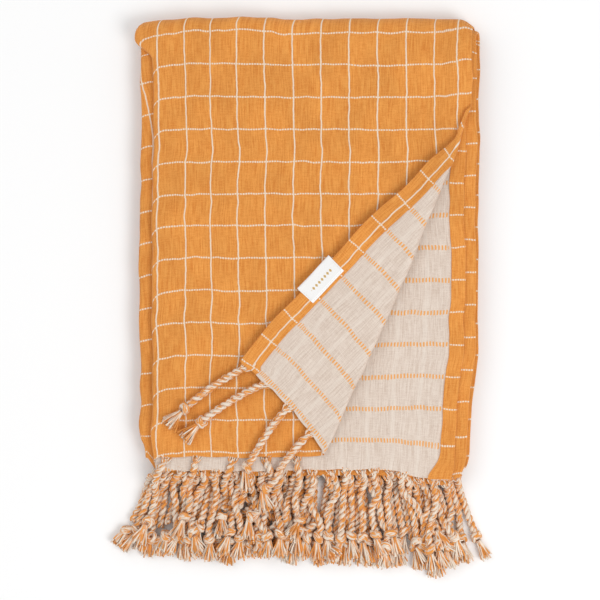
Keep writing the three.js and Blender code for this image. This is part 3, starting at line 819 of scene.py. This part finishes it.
class Tubes:
    """Collects round tubes into one mesh, with the fibre's place on each point."""

    def __init__(self):
        self.points, self.faces, self.fibre, self.count = [], [], [], 0

    def add(self, line, radius, sides, number, across=None, stretch=1.0):
        line = np.asarray(line, float)
        n = len(line)
        radius = np.broadcast_to(np.asarray(radius, float), (n,))
        tangent = np.gradient(line, axis=0)
        tangent /= np.linalg.norm(tangent, axis=1, keepdims=True) + 1e-9
        reference = np.array([0.13, 0.21, 0.97])
        side = np.cross(tangent, reference)
        side /= np.linalg.norm(side, axis=1, keepdims=True) + 1e-9
        rise = np.cross(side, tangent)
        angle = np.linspace(0, 2 * math.pi, sides, endpoint=False)
        ring = side[:, None] * np.cos(angle)[None, :, None]
        ring = ring + rise[:, None] * np.sin(angle)[None, :, None]
        points = line[:, None] + ring * radius[:, None, None]
        length = run_length(line)
        fibre = np.zeros((n, sides, 3))
        # A closed path round the yarn, so that the colour has no seam.
        girth = 2.2 if across is None else across
        fibre[..., 0] = girth * np.cos(angle)[None, :]
        fibre[..., 1] = length[:, None] * stretch + number * 13.1
        fibre[..., 2] = number + 0.5 * np.sin(angle)[None, :] * (girth > 0)
        index = self.count + np.arange(n * sides).reshape(n, sides)
        following = np.roll(index, -1, axis=1)
        quads = np.stack([index[:-1], following[:-1], following[1:], index[1:]], axis=-1)
        self.points.append(points.reshape(-1, 3))
        self.fibre.append(fibre.reshape(-1, 3))
        self.faces.extend(quads.reshape(-1, 4).tolist())
        self.faces.append(index[0][::-1].tolist())
        self.faces.append(index[-1].tolist())
        self.count += n * sides

    def build(self, name, material):
        mesh = bpy.data.meshes.new(name)
        placed = place_in_frame(np.concatenate(self.points))
        placed[:, 2] = placed[:, 2].clip(0.05 * MM)
        mesh.from_pydata(placed, [], self.faces)
        mesh.polygons.foreach_set("use_smooth", [True] * len(mesh.polygons))
        attribute = mesh.attributes.new("fibre", "FLOAT_VECTOR", "POINT")
        attribute.data.foreach_set("vector", np.concatenate(self.fibre).ravel().astype(np.float32))
        mesh.materials.append(material)
        return new_object(name, mesh)


def stitches_piece():
    """Short stitches round the label's three sewn edges."""
    over = -(2 * TURN + CLOTH + 0.1 + LABEL_THICKNESS / 2 + 0.1)
    inner = SELVEDGE_X - LABEL_DEPTH + 1.6
    tubes = Tubes()
    paths = [((inner, LABEL_FROM - 2), (inner, LABEL_TO + 2))]
    for y in (LABEL_FROM - 1.6, LABEL_TO + 1.6):
        paths.append(((inner + 1.5, y), (SELVEDGE_X - 1, y)))
    for start, end in paths:
        start, end = np.array(start), np.array(end)
        count = round(np.linalg.norm(end - start) / 3)
        for i in range(count):
            share = (i + np.linspace(0.15, 0.8, 5)) / count
            plan = start + (end - start) * share[:, None]
            arch = over - 0.12 * np.sin(np.linspace(0, math.pi, 5))
            flat = np.column_stack([plan, arch])
            tubes.add(front_point(flat), 0.22, 6, i)
    return tubes.build("label_stitches", THREAD)


# ---- The fringe: roots, settling and shape ----

class Chain:
    """A tassel's centre line while it settles."""

    def __init__(self, name, root, heading, bend, lift, out, stretch=1.0):
        self.name, self.root, self.step = name, np.array(root, float), TASSEL_STEP * stretch
        count = TASSEL_LENGTH // TASSEL_STEP + 1
        share = np.linspace(0, 1, count)
        angle = np.radians(heading + bend * share)
        steps = np.column_stack([np.cos(angle), np.sin(angle)]) * self.step
        plan = np.vstack([[0, 0], np.cumsum(steps[:-1], axis=0)])
        height = lift * ease(share / 0.35)
        self.points = np.column_stack([plan + self.root[:2], self.root[2] + height])
        start = np.array([math.cos(angle[0]), math.sin(angle[0]), out])
        self.points[1] = self.root + start / np.linalg.norm(start) * self.step
        self.fixed = self.points[:2].copy()


def particle_radii():
    at = np.arange(TASSEL_LENGTH // TASSEL_STEP + 1) * TASSEL_STEP
    radius = np.full(len(at), CORD_RADIUS)
    radius[at < 8] = 2.2
    radius[(at >= KNOT_START) & (at <= KNOT_END)] = 5.6
    radius[at > KNOT_END] = 4.6
    return radius


RADII = particle_radii()


# Heights of the cloth's upper faces.
SECOND_TOP = 21.4
LAYERS_TOP = 26.6  # the front quarter's lower layers
FRONT_TOP = 28.6


def ground(points, over_front):
    """The height of the cloth or the table under each point."""
    y = points[..., 1]
    layers = LAYERS_TOP * ease((y - (LAYER_HEM_Y - 3)) / 3)
    second = SECOND_TOP * ease((y - (SECOND_HEM_Y - 3)) / 3)
    height = np.maximum(layers, second)
    if over_front:
        front = FRONT_TOP * ease((y - (FRONT_HEM_Y - 3)) / 3)
        height = np.maximum(height, front)
    return height


PILE_PUSH = np.array([0.35, 0.35, 0.7])  # tassels climb onto those below more than they slide


def push_apart(moving, radius, fixed, fixed_radius, chain_of):
    """Moves points that are too close to others, up or aside."""
    push = np.zeros_like(moving)
    apart = moving[:, None] - moving[None]
    distance = np.linalg.norm(apart, axis=2) + 1e-6
    need = radius[:, None] + radius[None]
    close = (distance < need) & (chain_of[:, None] != chain_of[None])
    i, j = np.nonzero(close)
    share = 0.5 * (need[i, j] - distance[i, j]) / distance[i, j]
    np.add.at(push, i, apart[i, j] * share[:, None] * 0.6)
    if len(fixed):
        apart = moving[:, None] - fixed[None]
        distance = np.linalg.norm(apart, axis=2) + 1e-6
        need = radius[:, None] + fixed_radius[None]
        i, j = np.nonzero(distance < need)
        share = (need[i, j] - distance[i, j]) / distance[i, j]
        np.add.at(push, i, apart[i, j] * share[:, None] * PILE_PUSH)
    length = np.linalg.norm(push, axis=1, keepdims=True)
    return push * np.minimum(1, 2.5 / (length + 1e-9))


def settle_row(chains, fixed, fixed_radius, over_front):
    """Lets a row of tassels sink onto the table and onto the tassels below it."""
    p = np.stack([c.points for c in chains])
    start = np.stack([c.fixed for c in chains])
    stride = np.array([c.step for c in chains])[:, None, None]
    row, count = p.shape[:2]
    radius = np.tile(RADII, row)
    chain_of = np.repeat(np.arange(row), count)
    for _ in range(90):
        p[:, 2:, 2] -= 1.3
        for _ in range(3):
            for b, rest, give in ((1, stride, 0.5), (2, 1.93 * stride, 0.25)):
                gap = p[:, b:] - p[:, : count - b]
                length = np.linalg.norm(gap, axis=2, keepdims=True) + 1e-9
                error = length - rest
                if b == 2:
                    error = np.minimum(error, 0)
                move = gap / length * error * give
                p[:, : count - b] += move
                p[:, b:] -= move
            p[:, :2] = start
        flat = p.reshape(-1, 3)
        if len(fixed):
            low, high = flat.min(0) - 12, flat.max(0) + 12
            use = np.all((fixed > low) & (fixed < high), axis=1)
            push = push_apart(flat, radius, fixed[use], fixed_radius[use], chain_of)
        else:
            push = push_apart(flat, radius, fixed, fixed_radius, chain_of)
        p += push.reshape(p.shape)
        p[:, :2] = start
        floor = ground(p, over_front) + RADII[None, :]
        p[:, 2:, 2] = np.maximum(p[:, 2:, 2], floor[:, 2:])
    for chain, points in zip(chains, p):
        chain.points = points
    return p.reshape(-1, 3)


def front_row_name(layer):
    """The fringe row of one layer of the front quarter, from 0 (lowest) to 3."""
    return f"front_{round((3 * QUARTER_PITCH + CLOTH + layer * LAYER_PITCH) / LAYER_PITCH)}"


def fringe_rows():
    """Every row of tassels from the lowest up: (row's name, roots, over the front layer)."""
    rng = np.random.default_rng(5)
    rows = []
    for quarter, section, hem in (("second", SECOND, SECOND_HEM_Y), ("front", FRONT, None)):
        places = np.arange(TASSEL_PITCH / 2, section.w[-1] - BACK_HEM, TASSEL_PITCH)
        by_layer = {}
        for w in places:
            x, z = section.at(w)
            y = hem if hem is not None else float(hem_length(w))
            layer = round(float(z) / LAYER_PITCH)
            # Tassels of neighbouring layers hang one over the other.
            phase = TASSEL_PITCH / 2 if layer % 2 else 0
            x = round((float(x) - phase) / TASSEL_PITCH) * TASSEL_PITCH + phase
            x = min(max(x + rng.normal(0, 1.5), 1), 321)
            by_layer.setdefault(layer, []).append((x, y, float(z)))
        for layer in sorted(by_layer):
            rows.append((f"{quarter}_{layer}", by_layer[layer]))
    return rows, rng


def splay(x, rng):
    """Headings fan out from straight down, and neighbours lean together into clumps."""
    fan = 15 * (x - 165) / 165 - 12 * float(ease((30 - x) / 34))
    clump = 15 * float(plane_noise(x / 30, 0.5, 31))
    return 270 + fan + clump + rng.normal(0, 5)


# Place along the turned hem as a share, heading and bend in degrees, and stretch.
FLAP_TASSELS = [(0.96, 207, 22, 1.17), (0.76, 203, 26, 1.14), (0.50, 222, 48, 1.10),
                (0.24, 218, 40, 1.08)]


def flap_root(share):
    """A place on the turned back hem, from the crease's foot (0) to the corner (1)."""
    x = CREASE_FOOT[0] + (SELVEDGE_X - CREASE_FOOT[0]) * share
    flat = np.array([[x, FRONT_HEM_Y + 0.5, 0.0]])
    return front_point(flat)[0]


def grow_fringe():
    """All tassels, settled row by row. Returns {group: [Chain, ...]}."""
    rows, rng = fringe_rows()
    fixed, fixed_radius = np.empty((0, 3)), np.empty(0)
    groups = {}
    for name, roots in rows:
        chains = []
        front_row = name == front_row_name(3)
        for i, (x, y, z) in enumerate(roots):
            if front_row and x > CREASE_FOOT[0] - 6:
                continue
            root = settle(np.array([[x, y - 0.4, z]]))[0]
            heading = splay(x, rng)
            bend = rng.normal(0, 13) - 16 * float(plane_noise(x / 27, 0.5, 31))
            longer = float(ease((x - 60) / 220))
            stretch = rng.uniform(0.84, 0.94) + 0.17 * longer
            if name.startswith("second"):
                stretch *= 0.86
            lift = 6 + 10 * (i % 3)
            chains.append(Chain(f"{name}_{i + 1}", root, heading, bend, lift, -0.15, stretch))
        points = settle_row(chains, fixed, fixed_radius, False)
        fixed = np.vstack([fixed, points])
        fixed_radius = np.concatenate([fixed_radius, np.tile(RADII, len(chains))])
        groups[name] = chains
    flaps = []
    for i, (share, heading, bend, stretch) in enumerate(FLAP_TASSELS):
        root = flap_root(share)
        flaps.append(Chain(f"flap_{i + 1}", root, heading, bend, 5, 0.0, stretch))
    settle_row(flaps, fixed, fixed_radius, True)
    groups["flap"] = flaps
    return groups


def smooth_line(points, step):
    """A chain's points as a rounded curve, with a point every step."""
    points = np.asarray(points, float)
    for _ in range(2):
        inner = (points[:-2] + 2 * points[1:-1] + points[2:]) / 4
        points = np.vstack([points[:1], inner, points[-1:]])
    length = run_length(points)
    at = np.arange(0, length[-1], step)
    fine = np.column_stack([np.interp(at, length, points[:, k]) for k in range(3)])
    kernel = np.array([1, 2, 3, 2, 1]) / 9
    padded = np.vstack([fine[:1]] * 2 + [fine] + [fine[-1:]] * 2)
    return np.column_stack([np.convolve(padded[:, k], kernel, "valid") for k in range(3)])


def frames(line):
    """A side and a rise for each point of a line, without sudden turns."""
    tangent = np.gradient(line, axis=0)
    tangent /= np.linalg.norm(tangent, axis=1, keepdims=True) + 1e-9
    side = np.empty_like(line)
    current = np.cross(tangent[0], [0.1, 0.2, 1.0])
    for i, t in enumerate(tangent):
        current = current - t * (current @ t)
        current = current / (np.linalg.norm(current) + 1e-9)
        side[i] = current
    return tangent, side, np.cross(tangent, side)


def tassel_piece(chain, number):
    """One tassel: gathered threads, a two-ply cord, an overhand knot and a frayed tuft."""
    rng = np.random.default_rng(100 + number)
    line = smooth_line(chain.points, 1.0)
    tangent, side, rise = frames(line)
    tubes = Tubes()
    cord_end = min(KNOT_START + 6, len(line) - 20)
    phase = rng.uniform(0, 2 * math.pi)
    at = np.arange(2, cord_end)
    open_up = ease((at - 2) / 9)
    wobble = 1 + 0.08 * np.sin(at / 3.1 + phase)
    for ply in range(2):
        angle = phase + ply * math.pi + 2 * math.pi * at / TWIST_PITCH
        offset = PLY_OFFSET * (0.35 + 0.65 * open_up) * wobble
        path = line[at] + side[at] * (offset * np.cos(angle))[:, None]
        path = path + rise[at] * (offset * np.sin(angle))[:, None]
        radius = PLY_RADIUS * (0.55 + 0.45 * open_up) * (1 + 0.06 * np.sin(at / 1.7 + ply))
        tubes.add(path, radius, 8, number + 0.37 * ply)

    # Threads that come out of the hem and gather into the cord.
    across = np.array([-(line[6] - line[0])[1], (line[6] - line[0])[0], 0])
    across /= np.linalg.norm(across) + 1e-9
    for k in range(9):
        out = (k - 4) * 1.35 + rng.normal(0, 0.3)
        start = line[0] + across * out - tangent[0] * 1.5 + np.array([0, 0, rng.uniform(-0.5, 0.3)])
        end = line[9] + side[9] * rng.normal(0, 1.0) + rise[9] * rng.normal(0, 1.0)
        middle = (start + end) / 2 + across * out * 0.25 + np.array([0, 0, 0.4])
        tubes.add(np.array([start, (start + middle) / 2, middle, end]), 0.62, 5,
                  number * 3.1 + k * 1.7, across=0)

    # The knot: the cord wound twice round itself, one turn crossing the other.
    centre = (KNOT_START + KNOT_END) // 2
    turn = np.linspace(0, 2 * math.pi, 26)
    for lean, twist, size in ((3.3, 0.4, 4.1), (-3.2, 2.3, 3.9), (0.6, 1.1, 3.6)):
        along = centre + lean * np.sin(turn + twist + phase)
        places = np.arange(len(line))
        base = np.column_stack([np.interp(along, places, line[:, k]) for k in range(3)])
        loop = base + side[centre] * (size * np.cos(turn))[:, None]
        loop = loop + rise[centre] * (size * np.sin(turn))[:, None]
        tubes.add(loop, 2.1, 8, number + lean)

    # The tuft: loose threads that spread from the knot.
    root = line[min(KNOT_END - 3, len(line) - 12)]
    direction = line[-1] - root
    direction /= np.linalg.norm(direction) + 1e-9
    tuft_side = np.cross(direction, [0, 0, 1.0])
    tuft_side /= np.linalg.norm(tuft_side) + 1e-9
    tuft_rise = np.cross(tuft_side, direction)
    t = np.linspace(0, 1, 7)
    for k in range(54):
        angle, out = rng.uniform(0, 2 * math.pi), math.sqrt(rng.uniform(0, 1))
        length = TUFT_REACH * rng.uniform(0.78, 1.08)
        flare = 2.6 + (5.2 + rng.uniform(-1.0, 1.8)) * ease(t * 0.9)
        curl = rng.normal(0, 0.9) * t * t
        path = root + direction * (length * t)[:, None]
        path = path + tuft_side * ((out * math.cos(angle) * flare) + curl)[:, None]
        path = path + tuft_rise * (out * math.sin(angle) * flare * 0.85)[:, None]
        path[:, 2] = np.maximum(path[:, 2], 0.7)
        tubes.add(path, 0.75, 5, number * 2.3 + k * 2.9, across=0, stretch=0.25)
    return tubes.build(f"fringe_{chain.name}", FRINGE)


# ---- Floor, lights and camera ----

def make_stage():
    mesh = bpy.data.meshes.new("floor")
    size = 4.0
    corners = [(-size, -size, 0), (size, -size, 0), (size, size, 0), (-size, size, 0)]
    mesh.from_pydata(corners, [], [(0, 1, 2, 3)])
    floor = new_object("floor", mesh)
    g = Graph("pale_floor")
    place = g.node("ShaderNodeTexCoord").outputs["Object"]
    tone = g.ramp(g.noise(place), 0.0, 1.0, 0.985, 1.0)
    paper = g.shade(g.mix(0.5, (0.93, 0.93, 0.93, 1), (0.94, 0.94, 0.94, 1)), tone)
    mesh.materials.append(g.finish(paper, tone, 0.02))


def area_light(name, location, size, watts):
    light = bpy.data.lights.new(name, "AREA")
    light.shape = "SQUARE"
    light.size = size
    light.energy = watts
    obj = bpy.data.objects.new(name, light)
    obj.location = location
    aim = Vector((0, -0.05, 0)) - Vector(location)
    obj.rotation_euler = aim.to_track_quat("-Z", "Y").to_euler()
    bpy.context.scene.collection.objects.link(obj)


def make_lights():
    world = bpy.data.worlds.new("studio")
    world.use_nodes = True
    background = world.node_tree.nodes["Background"]
    background.inputs["Color"].default_value = (1, 1, 1, 1)
    background.inputs["Strength"].default_value = 0.65
    bpy.context.scene.world = world
    area_light("key", (1.1, -0.8, 1.7), 1.0, 20)
    area_light("fill", (-1.3, 0.9, 1.8), 2.0, 13.5)


VIEW_CENTRE = (148, -270)  # the plan point under the camera


def make_camera():
    """Straight above the throw, where a 600 mm wide view fills the frame."""
    camera = bpy.data.cameras.new("camera")
    camera.sensor_width = 36
    camera.lens = 100
    camera.dof.use_dof = False
    obj = bpy.data.objects.new("camera", camera)
    view_width = 0.600
    distance = view_width * camera.lens / camera.sensor_width
    over = place_in_frame([VIEW_CENTRE[0], VIEW_CENTRE[1], 28])
    obj.location = (over[0], over[1], over[2] + distance)
    bpy.context.scene.collection.objects.link(obj)
    bpy.context.scene.camera = obj


# ---- The assembly ----

def declare(width, length):
    """A piece of cloth's flat size in millimetres, whose own flat area is at most width times
    length, turned into metres; the values are not kept or used."""
    width, length = width * MM, length * MM


make_stage()
make_lights()
make_camera()
bpy.context.scene.view_settings.view_transform = "Standard"

cloth = main_pieces()
label = label_piece()
stitches = stitches_piece()
fringe = grow_fringe()

tassels = {"upper": [], "corner": []}
by_row = {}
number = 0
for group, chains in fringe.items():
    by_row[group] = []
    for chain in chains:
        number += 1
        piece = tassel_piece(chain, number)
        tassels["corner" if group == "flap" else "upper"].append(piece)
        by_row[group].append((piece, place_in_frame(chain.root)[:2]))

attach(cloth["front"], "upper_half")
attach(cloth["second"], "upper_half")
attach(cloth["lower"], "lower_half")
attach(cloth["corner"], "corner_flap")
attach(label, "corner_flap")
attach(stitches, "corner_flap")
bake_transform(cloth["crease"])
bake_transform(cloth["outer"])
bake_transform(cloth["inner"])

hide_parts("front_quarter")
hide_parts("second_quarter")
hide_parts("third_quarter", "back_quarter", "bottom_fold")
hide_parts("corner_flap", "flap_side_hem")
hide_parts("crease_roll")
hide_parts("outer_top_fold")
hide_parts("inner_top_fold")
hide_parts("woven_label")
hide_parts("label_stitching")

for piece in tassels["upper"]:
    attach(piece, "upper_half")
for piece in tassels["corner"]:
    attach(piece, "corner_flap")

# Each CAD tassel is replaced by the nearest one of its own row.
ROWS = {"front_tassel": front_row_name(3), "second_tassel": front_row_name(2),
        "inner_tassel": "second_11", "lower_tassel": "second_8", "flap_tassel": "flap"}
for node in sorted(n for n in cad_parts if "_tassel_" in n):
    row = by_row[ROWS[node.rsplit("_", 1)[0]]]
    low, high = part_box(node)
    root = np.array([(low[0] + high[0]) / 2, high[1]])
    if "flap" in node:
        root = np.array([high[0], high[1]])
    near = min(row, key=lambda item: np.linalg.norm(item[1] - root))
    row.remove(near)
    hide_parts(node)

SHEET_WIDTH = float(FRONT.w[-1] - FRONT.w[0])
CORNER_EDGE = float(np.hypot(*(np.array([SELVEDGE_X, FRONT_HEM_Y]) - CREASE_TOP)))
declare(SHEET_WIDTH, -LAYER_HEM_Y)
declare(math.pi * GREATEST_ROLL + 3, CREASE_LENGTH + 30)
declare(CORNER_EDGE, SELVEDGE_X - CREASE_FOOT[0])
declare(SHEET_WIDTH, -SECOND_HEM_Y + 2)
declare(SHEET_WIDTH, OUTER_TURN)
declare(SHEET_WIDTH, INNER_TURN)
declare(SHEET_WIDTH, -2 * HIDDEN_END_Y + INNER_TURN)
declare(LABEL_DEPTH * 2 + LABEL_OVERHANG * 2 + 4, LABEL_FROM - LABEL_TO)
